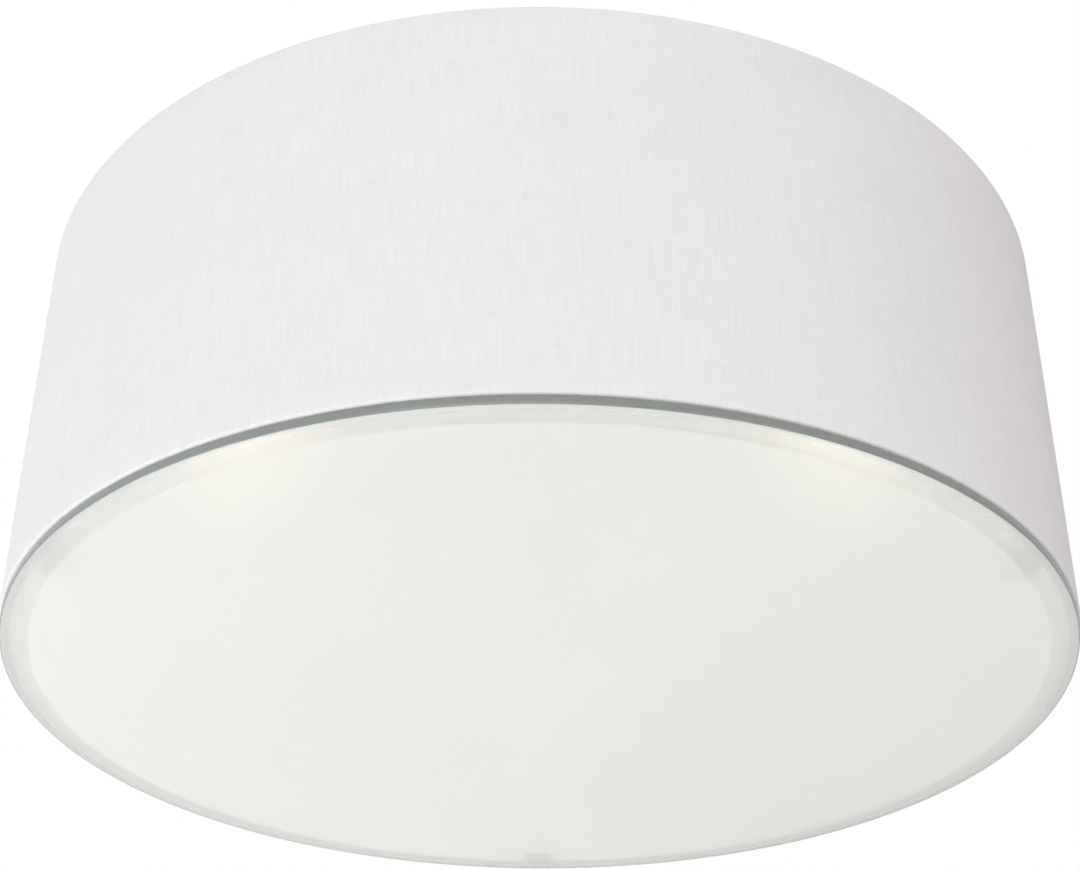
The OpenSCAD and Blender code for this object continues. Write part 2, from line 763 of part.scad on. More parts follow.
module shade_frame() {
    half_t = spoke_t / 2;
    color("white")
    difference() {
        union() {
            translate([0, 0, wire_top_z]) wire_ring();
            for (angle = stud_angles) rotate([0, 0, angle]) {
                translate([0, spoke_w / 2, 0]) rotate([90, 0, 0]) linear_extrude(spoke_w) polygon([
                    [stud_r, spoke_z + half_t], [spoke_bend_r, spoke_z + half_t],
                    [wire_r, wire_top_z + half_t], [wire_r, wire_top_z - half_t],
                    [spoke_bend_r, spoke_z - half_t], [stud_r, spoke_z - half_t]
                ]);
                translate([stud_r, 0, spoke_z - half_t]) cylinder(d = eye_d, h = spoke_t, $fn = middle_fn);
            }
        }
        for (angle = stud_angles) around(angle, stud_r) translate([0, 0, spoke_z - spoke_t])
            cylinder(d = stud_d + 4 * screw_play, h = 2 * spoke_t, $fn = middle_fn);
    }
}

module wire_ring() {
    rotate_extrude($fn = large_fn) translate([wire_r, 0]) circle(d = wire_d, $fn = small_fn);
}

module frame_washers() {
    color("silver")
    for (angle = stud_angles) around(angle, stud_r) translate([0, 0, washer_z - washer_t])
        ring(washer_d, stud_d + 4 * screw_play, washer_t);
}

module thumb_nut(i) {
    color("silver")
    around(stud_angles[i], stud_r) translate([0, 0, nut_z - nut_h])
    difference() {
        union() {
            cylinder(d = nut_d, h = nut_h - nut_collar, $fn = middle_fn);
            cylinder(d = washer_d - washer_inset, h = nut_h, $fn = middle_fn);
        }
        translate([0, 0, -cut]) cylinder(d = stud_d + 2 * running_play, h = nut_h + 2 * cut, $fn = middle_fn);
        for (k = [0 : nut_grooves - 1])
            rotate([0, 0, 360 * k / nut_grooves]) translate([nut_d / 2 + groove_out, 0, -cut])
            cylinder(d = groove_d, h = nut_h + 2 * cut, $fn = small_fn);
    }
}

module shade_liner() {
    top = shade_top - fabric_t - bond;
    bottom = shade_bottom + fabric_t + bond;
    color("white")
    translate([0, 0, bottom])
    difference() {
        cylinder(r = liner_out_r, h = top - bottom, $fn = large_fn);
        translate([0, 0, -cut]) cylinder(r = liner_in_r, h = top - bottom + 2 * cut, $fn = large_fn);
    }
}

// One rolled edge of the fabric, from the outside over the edge and in behind the ring; up is 1 or -1
function rolled_edge(edge_z, up) = concat(
    arc(shade_r - hem_round, edge_z - up * hem_round, hem_round, 0, up * 90, 5),
    arc(hem_in_r + hem_round, edge_z - up * hem_round, hem_round, up * 90, up * 180, 5),
    [
        [hem_in_r, edge_z - up * hem_turn], [hem_out_r, edge_z - up * hem_turn],
        [hem_out_r, edge_z - up * fabric_t], [shade_r - fabric_t, edge_z - up * fabric_t]
    ]
);

function reversed(list) = [for (i = [len(list) - 1 : -1 : 0]) list[i]];

module shade_fabric() {
    seam_deg = seam_w / shade_r * 180 / PI;
    color("white")
    difference() {
        union() {
            rotate_extrude($fn = large_fn)
                polygon(concat(rolled_edge(shade_top, 1), reversed(rolled_edge(shade_bottom, -1))));
            rotate([0, 0, seam_angle - seam_deg / 2]) rotate_extrude(angle = seam_deg, $fn = large_fn)
                translate([shade_r - fabric_t / 2, shade_bottom + hem_round])
                square([fabric_t, shade_h - 2 * hem_round]);
        }
        for (angle = stud_angles) rotate([0, 0, angle])
            hem_notch(spoke_w + 2 * notch_side, shade_top - hem_turn - cut, shade_top - hem_round - bond);
        for (angle = magnet_angles) rotate([0, 0, angle])
            hem_notch(tab_w + 2 * notch_side, shade_bottom + hem_round + bond, shade_bottom + hem_turn + cut);
    }
}

// Slit in the turned-in fabric, where a spoke or a magnet tab passes
module hem_notch(w, from_z, to_z) {
    translate([hem_in_r - 2, -w / 2, from_z]) cube([2 + fabric_t + bond, w, to_z - from_z]);
}

module bottom_ring() {
    weld_r = wire_r - wire_d / 2 + rest_gap;
    tab_in_r = magnet_r - cup_d / 2;
    color("white") {
        translate([0, 0, wire_bottom_z]) wire_ring();
        for (angle = magnet_angles) rotate([0, 0, angle]) {
            translate([weld_r, -tab_w / 2, wire_bottom_z])
                cube([tab_t, tab_w, cup_top + tab_t - wire_bottom_z]);
            translate([tab_in_r, -tab_w / 2, cup_top]) cube([weld_r + tab_t - tab_in_r, tab_w, tab_t]);
        }
    }
}

module magnet_cups() {
    color("silver")
    for (angle = magnet_angles) around(angle, magnet_r) translate([0, 0, cup_bottom])
    difference() {
        cylinder(d = cup_d, h = cup_h, $fn = middle_fn);
        translate([0, 0, -cut]) cylinder(d = magnet_d + 2 * bond, h = magnet_t + bond + cut, $fn = middle_fn);
    }
}

module magnets() {
    color("gray")
    for (angle = magnet_angles) around(angle, magnet_r) translate([0, 0, cup_bottom + bond])
        cylinder(d = magnet_d, h = magnet_t, $fn = middle_fn);
}

module diffuser_glass() {
    color([0.85, 0.92, 0.88, 0.9])
    rotate_extrude($fn = large_fn) polygon([
        [0, glass_bottom], [glass_r - glass_arris, glass_bottom], [glass_r, glass_bottom + glass_arris],
        [glass_r, glass_top - glass_arris], [glass_r - glass_arris, glass_top], [0, glass_top]
    ]);
}

module keeper_discs() {
    color("silver")
    for (angle = magnet_angles) around(angle, magnet_r) translate([0, 0, glass_top])
        cylinder(d = keeper_d, h = keeper_t, $fn = middle_fn);
}

ceiling_plate();
cable_grommet();
terminal_block();
terminal_barrels();
terminal_screws();
block_screws();
earth_screw();
earth_tag();
earth_lead();
lamp_bracket(0);  // lamp_bracket_1
lamp_bracket(1);  // lamp_bracket_2
lamp_bracket(2);  // lamp_bracket_3
bracket_screws();
holder_nipples();
nipple_nuts();
lampholder(0);  // lampholder_1
lampholder(1);  // lampholder_2
lampholder(2);  // lampholder_3
contact_base(0);  // contact_base_1
contact_base(1);  // contact_base_2
contact_base(2);  // contact_base_3
screw_shell(0);  // screw_shell_1
screw_shell(1);  // screw_shell_2
screw_shell(2);  // screw_shell_3
centre_contact(0);  // centre_contact_1
centre_contact(1);  // centre_contact_2
centre_contact(2);  // centre_contact_3
lamp_lead(lead_route_1);  // lamp_lead_1
lamp_lead(lead_route_2);  // lamp_lead_2
lamp_lead(lead_route_3);  // lamp_lead_3
lead_clip();
bulb_foot(0);  // bulb_foot_1
bulb_foot(1);  // bulb_foot_2
bulb_foot(2);  // bulb_foot_3
bulb_cap(0);  // bulb_cap_1
bulb_cap(1);  // bulb_cap_2
bulb_cap(2);  // bulb_cap_3
bulb_body(0);  // bulb_body_1
bulb_body(1);  // bulb_body_2
bulb_body(2);  // bulb_body_3
led_board(0);  // led_board_1
led_board(1);  // led_board_2
led_board(2);  // led_board_3
bulb_dome(0);  // bulb_dome_1
bulb_dome(1);  // bulb_dome_2
bulb_dome(2);  // bulb_dome_3
shade_studs();
shade_frame();
frame_washers();
thumb_nut(0);  // thumb_nut_1
thumb_nut(1);  // thumb_nut_2
thumb_nut(2);  // thumb_nut_3
shade_liner();
shade_fabric();
bottom_ring();
magnet_cups();
magnets();
diffuser_glass();
keeper_discs();
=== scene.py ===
import json
import math
import bpy
from mathutils import Matrix, Vector, noise

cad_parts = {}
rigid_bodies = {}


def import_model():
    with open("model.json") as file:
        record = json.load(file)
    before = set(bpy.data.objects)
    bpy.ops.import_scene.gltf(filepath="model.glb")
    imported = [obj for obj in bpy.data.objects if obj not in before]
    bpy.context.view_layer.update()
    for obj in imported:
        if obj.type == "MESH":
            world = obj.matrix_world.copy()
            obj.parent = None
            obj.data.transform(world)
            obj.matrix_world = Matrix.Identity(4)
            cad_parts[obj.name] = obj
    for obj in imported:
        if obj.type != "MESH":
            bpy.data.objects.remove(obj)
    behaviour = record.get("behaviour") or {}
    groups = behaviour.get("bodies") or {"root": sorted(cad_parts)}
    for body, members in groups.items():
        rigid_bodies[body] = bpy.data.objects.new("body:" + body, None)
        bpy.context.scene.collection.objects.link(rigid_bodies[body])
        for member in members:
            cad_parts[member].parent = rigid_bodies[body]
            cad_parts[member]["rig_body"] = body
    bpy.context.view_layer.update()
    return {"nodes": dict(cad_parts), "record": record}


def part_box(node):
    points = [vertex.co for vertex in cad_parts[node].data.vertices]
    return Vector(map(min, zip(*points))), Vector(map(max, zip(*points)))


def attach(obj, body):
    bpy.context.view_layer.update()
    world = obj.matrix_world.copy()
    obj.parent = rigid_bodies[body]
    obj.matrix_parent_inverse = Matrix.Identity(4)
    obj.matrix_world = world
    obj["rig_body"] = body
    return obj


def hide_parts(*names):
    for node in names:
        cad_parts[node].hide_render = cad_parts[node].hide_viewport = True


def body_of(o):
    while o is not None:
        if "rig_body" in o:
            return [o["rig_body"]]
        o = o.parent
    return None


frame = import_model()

nodes = frame["nodes"]
slotOf = {part["node"]: part["material_slot"] for part in frame["record"]["subparts"]}

# degrees round the light, counted from +X
lampAngles = [90, 210, 330]
studAngles = [30, 150, 270]
magnetAngles = [90, 210, 330]


# the photograph was taken from below: the camera looks up at the glass
cameraView = {
    "place": (0, -0.6839, -0.4709),
    "lookUp": 31.9,
    "turn": 0.013,
    "roll": 0.262,
    "pictureWidth": 1080,
    "focalPixels": 1974,
    "sensor": 36,
    "nearest": 0.01,
}


def makeCamera():
    view = cameraView
    bpy.ops.object.camera_add(location=view["place"])
    camera = bpy.context.object
    camera.name = "photoCamera"
    camera.data.sensor_fit = "HORIZONTAL"
    camera.data.sensor_width = view["sensor"]
    camera.data.lens = view["focalPixels"] / view["pictureWidth"] * view["sensor"]
    camera.data.clip_start = view["nearest"]
    tilt = Matrix.Rotation(math.radians(90 + view["lookUp"]), 3, "X")
    turn = Matrix.Rotation(math.radians(view["turn"]), 3, "Z")
    roll = Matrix.Rotation(math.radians(view["roll"]), 3, "Z")
    camera.rotation_euler = (turn @ tilt @ roll).to_euler()
    bpy.context.scene.camera = camera
    print("camera placed")


makeCamera()


# short calls for wiring shader nodes

class Wiring:
    def __init__(self, tree):
        self.tree = tree

    def node(self, kind, **settings):
        made = self.tree.nodes.new(kind)
        for key, value in settings.items():
            setattr(made, key, value)
        return made

    def join(self, source, target):
        self.tree.links.new(source, target)

    def feed(self, socket, value):
        if isinstance(value, tuple):
            socket.default_value = (*value, 1)
        elif isinstance(value, (int, float)):
            socket.default_value = value
        else:
            self.join(value, socket)

    def coordinates(self, output="Object", scale=(1, 1, 1), rotation=(0, 0, 0)):
        source = self.node("ShaderNodeTexCoord")
        mapping = self.node("ShaderNodeMapping")
        mapping.inputs["Scale"].default_value = scale
        mapping.inputs["Rotation"].default_value = rotation
        self.join(source.outputs[output], mapping.inputs["Vector"])
        return mapping.outputs["Vector"]

    def noise(self, vector, scale, detail=3, roughness=0.55):
        made = self.node("ShaderNodeTexNoise")
        made.inputs["Scale"].default_value = scale
        made.inputs["Detail"].default_value = detail
        made.inputs["Roughness"].default_value = roughness
        self.join(vector, made.inputs["Vector"])
        return made.outputs["Fac"]

    def math(self, operation, *values):
        made = self.node("ShaderNodeMath", operation=operation)
        for socket, value in zip(made.inputs, values):
            self.feed(socket, value)
        return made.outputs[0]

    def spread(self, value, fromLow, fromHigh, toLow, toHigh):
        made = self.node("ShaderNodeMapRange")
        self.join(value, made.inputs["Value"])
        made.inputs["From Min"].default_value = fromLow
        made.inputs["From Max"].default_value = fromHigh
        made.inputs["To Min"].default_value = toLow
        made.inputs["To Max"].default_value = toHigh
        return made.outputs[0]

    def mix(self, share, first, second, blend="MIX"):
        # a Mix node's two colours are its inputs 6 and 7, and the mixed colour is its output 2
        made = self.node("ShaderNodeMix", data_type="RGBA", blend_type=blend)
        self.feed(made.inputs[0], share)
        self.feed(made.inputs[6], first)
        self.feed(made.inputs[7], second)
        return made.outputs[2]

    def blend(self, share, first, second):
        made = self.node("ShaderNodeMixShader")
        for socket, value in zip(made.inputs, (share, first, second)):
            self.feed(socket, value)
        return made.outputs[0]


class Finish(Wiring):
    def __init__(self, name):
        self.material = bpy.data.materials.new(name)
        self.material.use_nodes = True
        super().__init__(self.material.node_tree)
        self.shader = self.tree.nodes["Principled BSDF"]
        self.out = self.tree.nodes["Material Output"]

    def set(self, **values):
        for key, value in values.items():
            self.shader.inputs[key.replace("_", " ")].default_value = value

    def colour(self, source):
        self.join(source, self.shader.inputs["Base Color"])

    def rough(self, source):
        self.join(source, self.shader.inputs["Roughness"])

    def bump(self, height, strength, depth):
        made = self.node("ShaderNodeBump")
        made.inputs["Strength"].default_value = strength
        made.inputs["Distance"].default_value = depth
        self.join(height, made.inputs["Height"])
        self.join(made.outputs["Normal"], self.shader.inputs["Normal"])
        return made.outputs["Normal"]

    def cloudy(self, field, tones, gloss, toneSpan, glossSpan=(0.3, 0.7)):
        # the field drifts the colour from one tone to the other, and the roughness with it
        self.colour(self.mix(self.spread(field, *toneSpan, 0, 1), *tones))
        self.rough(self.spread(field, *glossSpan, *gloss))


# white room: the camera sees plain white, the object gets a softer light that is fuller on the left
room = {
    "left": (0.8, 0.81, 0.82),
    "right": (0.6, 0.56, 0.535),
    "strength": 1.0,
    "seen": (1, 1, 1),
}
lights = [
    {"name": "keyLight", "place": (-0.5, -2.55, -0.45), "aim": (0, 0, -0.08),
     "size": 1.8, "power": 27.5, "colour": (1, 1, 1)},
    {"name": "fillLight", "place": (1.6, -1.9, -0.9), "aim": (0, 0, -0.1),
     "size": 1.4, "power": 8.5, "colour": (1, 0.965, 0.93)},
    {"name": "lowLight", "place": (-1.45, 0.4, -1.5), "aim": (-1.45, 0.4, 0),
     "size": 1.6, "power": 31, "colour": (1, 1, 0.99)},
]

# what the three lit lamps give to the inside of the shade, gathered between them
lampGlow = {
    "angles": studAngles,
    "radius": 0.09,
    "height": -0.06,
    "size": 0.03,
    "power": 0.1,
    "colour": (1, 0.92, 0.82),
}


def makeWorld():
    world = bpy.data.worlds.new("whiteRoom")
    bpy.context.scene.world = world
    world.use_nodes = True
    w = Wiring(world.node_tree)
    w.tree.nodes.clear()
    split = w.node("ShaderNodeSeparateXYZ")
    w.join(w.node("ShaderNodeTexCoord").outputs["Generated"], split.inputs[0])
    side = w.mix(w.spread(split.outputs["X"], -1, 1, 0, 1), room["left"], room["right"])
    soft = w.node("ShaderNodeBackground")
    w.join(side, soft.inputs["Color"])
    soft.inputs["Strength"].default_value = room["strength"]
    plain = w.node("ShaderNodeBackground")
    plain.inputs["Color"].default_value = (*room["seen"], 1)
    toCamera = w.node("ShaderNodeLightPath").outputs["Is Camera Ray"]
    surroundings = w.blend(toCamera, soft.outputs[0], plain.outputs[0])
    w.join(surroundings, w.node("ShaderNodeOutputWorld").inputs["Surface"])
    bpy.context.scene.view_settings.view_transform = "Standard"


def placeLights():
    for panel in lights:
        bpy.ops.object.light_add(type="AREA", location=panel["place"])
        light = bpy.context.object
        light.name = panel["name"]
        light.data.size = panel["size"]
        light.data.energy = panel["power"]
        light.data.color = panel["colour"]
        light.visible_camera = False
        aim = Vector(panel["aim"]) - Vector(panel["place"])
        light.rotation_euler = aim.to_track_quat("-Z", "Y").to_euler()


def placeGlows():
    radius = lampGlow["radius"]
    for angle in lampGlow["angles"]:
        turn = math.radians(angle)
        place = (radius * math.cos(turn), radius * math.sin(turn), lampGlow["height"])
        bpy.ops.object.light_add(type="POINT", radius=lampGlow["size"], location=place)
        glow = bpy.context.object
        glow.name = f"lampGlow{angle}"
        glow.data.energy = lampGlow["power"]
        glow.data.color = lampGlow["colour"]
        glow.visible_camera = False
        glow.visible_transmission = False
        glow.visible_glossy = False


makeWorld()
placeLights()
placeGlows()
print("room lit")


# small tools for modelling by hand

def clearSelection():
    if bpy.context.object and bpy.context.object.mode != "OBJECT":
        bpy.ops.object.mode_set(mode="OBJECT")
    bpy.ops.object.select_all(action="DESELECT")


def takeUp(piece):
    clearSelection()
    piece.select_set(True)
    bpy.context.view_layer.objects.active = piece


def finishPiece(piece, name, body, material, smoothAngle=35):
    takeUp(piece)
    bpy.ops.object.transform_apply(location=True, rotation=True, scale=True)
    piece.name = name
    piece.data.name = name
    bpy.ops.object.shade_smooth_by_angle(angle=math.radians(smoothAngle))
    piece.data.materials.clear()
    piece.data.materials.append(material)
    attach(piece, body)


def closedUp(piece, merge=0.00001):
    takeUp(piece)
    bpy.ops.object.mode_set(mode="EDIT")
    bpy.ops.mesh.select_all(action="SELECT")
    bpy.ops.mesh.remove_doubles(threshold=merge)
    bpy.ops.mesh.normals_make_consistent(inside=False)
    bpy.ops.object.mode_set(mode="OBJECT")


def selectWhere(piece, kind, test):
    # picks faces or edges by their place and leaves edit mode open
    takeUp(piece)
    bpy.ops.object.mode_set(mode="EDIT")
    bpy.ops.mesh.select_mode(type=kind)
    bpy.ops.mesh.select_all(action="DESELECT")
    bpy.ops.object.mode_set(mode="OBJECT")
    mesh = piece.data
    if kind == "FACE":
        for face in mesh.polygons:
            face.select = test(face)
    else:
        for edge in mesh.edges:
            edge.select = test(*(mesh.vertices[v].co for v in edge.vertices))
    bpy.ops.object.mode_set(mode="EDIT")


def applyModifier(piece, modifier):
    takeUp(piece)
    bpy.ops.object.modifier_apply(modifier=modifier.name)


def drawProfile(points):
    # a chain of edges drawn point by point in the XZ plane
    clearSelection()
    bpy.ops.mesh.primitive_plane_add(size=0.001)
    piece = bpy.context.object
    bpy.ops.object.mode_set(mode="EDIT")
    bpy.ops.mesh.select_mode(type="VERT")
    bpy.ops.mesh.select_all(action="SELECT")
    bpy.ops.mesh.merge(type="CENTER")
    bpy.ops.transform.translate(value=(points[0][0], 0, points[0][1]))
    for (r0, z0), (r1, z1) in zip(points, points[1:]):
        bpy.ops.mesh.extrude_vertices_move(TRANSFORM_OT_translate={"value": (r1 - r0, 0, z1 - z0)})
    bpy.ops.object.mode_set(mode="OBJECT")
    return piece


def turnOnLathe(points, segments=96):
    piece = drawProfile(points)
    bpy.ops.object.mode_set(mode="EDIT")
    bpy.ops.mesh.select_all(action="SELECT")
    bpy.ops.mesh.spin(steps=segments, angle=2 * math.pi, center=(0, 0, 0), axis=(0, 0, 1))
    bpy.ops.object.mode_set(mode="OBJECT")
    closedUp(piece)
    return piece


def placedCopy(piece, place):
    copy = piece.copy()
    copy.data = piece.data.copy()
    bpy.context.collection.objects.link(copy)
    copy.parent = None
    copy.matrix_world = place
    return copy


def arcPoints(centreR, centreZ, radius, start, end, steps):
    turn = [math.radians(start + (end - start) * step / steps) for step in range(steps + 1)]
    return [(centreR + radius * math.cos(a), centreZ + radius * math.sin(a)) for a in turn]


# the linen: plain weave with slubs, read from the flat cut's own UV map in metres
linen = {
    "base": (0.865, 0.865, 0.874),
    "thread": 0.00058,
    "weave": 0.2,
    "drift": 5,
    "driftNoise": {"scale": 160, "detail": 2},
    "warp": (1500, 55, 1),
    "warpShare": 0.6,
    "weft": (70, 1500, 1),
    "weftShare": 0.4,
    "slubNoise": {"scale": 1, "roughness": 0.6},
    "slubSpan": (0.35, 0.65),
    "slubDark": 0.055,
    "slubLight": 0.4,  # as a share of the dark
    "cloudNoise": {"scale": 24},
    "cloudSpan": (0.3, 0.7),
    "cloudTone": (0.985, 1.005),
    "bump": 0.24,
    "bumpDepth": 0.00015,
    "translucency": 0.2,
    # painted shade for the hem's crease against the glass: its colour, its height up the cut and its fade
    "glued": (0.45, 0.45, 0.37),
    "creaseShadeWidth": 0.0084,
    "creaseShadeFade": 0.0006,
}


def linenMaterial():
    w = Finish("whiteLinen")
    split = w.node("ShaderNodeSeparateXYZ")
    w.join(w.coordinates("UV"), split.inputs[0])
    along, up = split.outputs[0], split.outputs[1]
    turns = 2 * math.pi / linen["thread"]
    warpSlub = w.noise(w.coordinates("UV", scale=linen["warp"]), **linen["slubNoise"])
    weftSlub = w.noise(w.coordinates("UV", scale=linen["weft"]), **linen["slubNoise"])
    drift = w.math("MULTIPLY", w.noise(w.coordinates("UV"), **linen["driftNoise"]), linen["drift"])
    warpWave = w.math("SINE", w.math("MULTIPLY_ADD", along, turns, drift))
    weftWave = w.math("SINE", w.math("MULTIPLY_ADD", up, turns, drift))
    weave = w.math("MULTIPLY", warpWave, weftWave)
    warpPart = w.math("MULTIPLY", warpSlub, linen["warpShare"])
    weftPart = w.math("MULTIPLY", weftSlub, linen["weftShare"])
    slubs = w.math("ADD", warpPart, weftPart)
    height = w.math("MULTIPLY_ADD", weave, linen["weave"], slubs)
    dark = linen["slubDark"]
    tone = w.spread(slubs, *linen["slubSpan"], 1 - dark, 1 + dark * linen["slubLight"])
    cloud = w.noise(w.coordinates("UV"), **linen["cloudNoise"])
    cloud = w.spread(cloud, *linen["cloudSpan"], *linen["cloudTone"])
    # painted shade: the part turned in round the bottom ring is darkened to an olive tone for the crease
    # where it meets the glass
    glue = w.spread(up, linen["creaseShadeWidth"], linen["creaseShadeWidth"] + linen["creaseShadeFade"], 1, 0)
    base = w.mix(glue, linen["base"], linen["glued"])
    colour = w.mix(1.0, base, w.math("MULTIPLY", tone, cloud), "MULTIPLY")
    w.colour(colour)
    normal = w.bump(height, linen["bump"], linen["bumpDepth"])
    w.set(Roughness=0.9, Sheen_Weight=0.1, Sheen_Roughness=0.5, Specular_IOR_Level=0.2)
    through = w.node("ShaderNodeBsdfTranslucent")
    w.join(colour, through.inputs["Color"])
    w.join(normal, through.inputs["Normal"])
    cloth = w.blend(linen["translucency"], w.shader.outputs[0], through.outputs[0])
    w.join(cloth, w.out.inputs["Surface"])
    return w.material


# hard finishes share a soft cloud in the colour and the gloss, and a fine grain in the surface
etched = {
    "cloud": {"scale": 6},
    "span": (0.35, 0.65),
    "darker": 0.985,
    "gloss": (-0.03, 0.03),
    "grain": {"scale": 900},
    "bump": 0.05,
    "depth": 0.00005,
}
powderCoat = {
    "cloud": {"scale": 25, "detail": 4},
    "span": (0.35, 0.7),
    "darker": 0.95,
    "gloss": (-0.05, 0.08),
    "grain": {"scale": 1400, "detail": 2},
    "bump": 0.12,
    "depth": 0.0001,
}
moulded = {
    "cloud": {"scale": 60},
    "span": (0.35, 0.65),
    "darker": 0.94,
    "gloss": (-0.06, 0.06),
    "grain": {"scale": 2500, "detail": 2},
    "bump": 0.05,
    "depth": 0.00005,
}
metal = {
    "cloud": {"detail": 4, "roughness": 0.65},
    "span": (0.35, 0.7),
    "darker": 0.82,
    "gloss": (-0.07, 0.12),
    "grain": {"scale": 800, "roughness": 0.6},
    "bump": 0.08,
    "depth": 0.00004,
}


def darkening(colour, share):
    return colour, tuple(c * share for c in colour)


def hardFinish(name, look, colour, roughness, brushed=(1, 1, 1)):
    w = Finish(name)
    cloud = w.noise(w.coordinates(), **look["cloud"])
    gloss = [roughness + change for change in look["gloss"]]
    w.cloudy(cloud, darkening(colour, look["darker"]), gloss, look["span"])
    w.bump(w.noise(w.coordinates(scale=brushed), **look["grain"]), look["bump"], look["depth"])
    return w


def paintedMaterial(name, colour, roughness):
    return hardFinish(name, powderCoat, colour, roughness).material


def mouldedMaterial(name, colour, roughness, bump=moulded["bump"]):
    return hardFinish(name, {**moulded, "bump": bump}, colour, roughness).material


def metalMaterial(name, colour, roughness, blotch, brushed=(1, 1, 1)):
    look = {**metal, "cloud": {**metal["cloud"], "scale": blotch}}
    w = hardFinish(name, look, colour, roughness, brushed)
    w.set(Metallic=1.0)
    return w.material


# the glass is etched fully, but for rings at its rim, and its edge is ground
fullEtch = {"name": "fullEtch", "clear": 0.36, "rough": 0.38, "colour": (0.95, 0.965, 0.935)}
rimRings = [
    {"name": "clearBorder", "width": 0.003, "clear": 0.5, "rough": 0.2, "colour": (0.93, 0.975, 0.97)},
    {"name": "thinEtch", "width": 0.0068, "clear": 0.48, "rough": 0.36, "colour": (0.95, 0.965, 0.935)},
]
groundEdge = {
    "colour": (0.215, 0.24, 0.228),
    "darker": 0.9,
    "gloss": (0.3, 0.43),
    "clear": 0.1,
    "coatRough": 0.2,
    "grind": {"scale": 300, "detail": 4, "roughness": 0.6},
    "flattened": (1, 1, 20),
    "span": (0.35, 0.65),
    "bump": 0.15,
    "depth": 0.00005,
}
glassBending = 1.5


def etchedMaterial(ring):
    w = hardFinish(ring["name"], etched, ring["colour"], ring["rough"])
    w.set(Transmission_Weight=ring["clear"], IOR=glassBending)
    return w.material


def groundEdgeMaterial():
    look = groundEdge
    w = Finish("groundGlassEdge")
    grind = w.noise(w.coordinates(scale=look["flattened"]), **look["grind"])
    w.cloudy(grind, darkening(look["colour"], look["darker"]), look["gloss"], look["span"])
    w.bump(grind, look["bump"], look["depth"])
    w.set(Transmission_Weight=look["clear"], IOR=glassBending)
    w.set(Coat_Weight=1.0, Coat_Roughness=look["coatRough"])
    return w.material


linerFilm = {
    "tones": ((0.86, 0.86, 0.85), (0.83, 0.83, 0.815)),
    "span": (0.3, 0.7),
    "gloss": (0.42, 0.55),
    "ripple": {"scale": 40, "detail": 2},
    "stretched": (1, 1, 0.3),
    "bump": 0.05,
    "depth": 0.0004,
}


def linerMaterial():
    look = linerFilm
    w = Finish("linerFilm")
    ripple = w.noise(w.coordinates(scale=look["stretched"]), **look["ripple"])
    w.cloudy(ripple, look["tones"], look["gloss"], look["span"])
    w.bump(ripple, look["bump"], look["depth"])
    return w.material


opalDome = {
    "tones": ((0.9, 0.9, 0.88), (0.86, 0.86, 0.84)),
    "span": (0.3, 0.7),
    "gloss": (0.38, 0.48),
    "milk": {"scale": 45, "detail": 2},
    "grain": {"scale": 2500, "detail": 2},
    "bump": 0.03,
    "depth": 0.00004,
    "glow": (1, 0.84, 0.66, 1),
    "glowStrength": 2.2,
}


def opalMaterial():
    look = opalDome
    w = Finish("opalDome")
    milk = w.noise(w.coordinates(), **look["milk"])
    w.cloudy(milk, look["tones"], look["gloss"], look["span"])
    w.bump(w.noise(w.coordinates(), **look["grain"]), look["bump"], look["depth"])
    w.set(Emission_Color=look["glow"], Emission_Strength=look["glowStrength"])
    return w.material


# green sheath with a yellow stripe wound round it
earthSheath = {
    "green": (0.06, 0.28, 0.05),
    "yellow": (0.75, 0.6, 0.04),
    "stripes": 60,
    "slant": 0.5,
    "stripeEdge": (0.45, 0.55),
    "scuff": {"scale": 200},
    "scuffSpan": (0.3, 0.7),
    "gloss": (0.4, 0.52),
    "grain": {"scale": 1500, "detail": 2},
    "bump": 0.05,
    "depth": 0.00005,
}


def earthMaterial():
    look = earthSheath
    w = Finish("earthSheath")
    wave = w.node("ShaderNodeTexWave")
    wave.inputs["Scale"].default_value = look["stripes"]
    w.join(w.coordinates(rotation=(0, 0, look["slant"])), wave.inputs["Vector"])
    stripe = w.spread(wave.outputs["Fac"], *look["stripeEdge"], 0, 1)
    w.colour(w.mix(stripe, look["green"], look["yellow"]))
    scuff = w.noise(w.coordinates(), **look["scuff"])
    w.rough(w.spread(scuff, *look["scuffSpan"], *look["gloss"]))
    w.bump(w.noise(w.coordinates(), **look["grain"]), look["bump"], look["depth"])
    return w.material


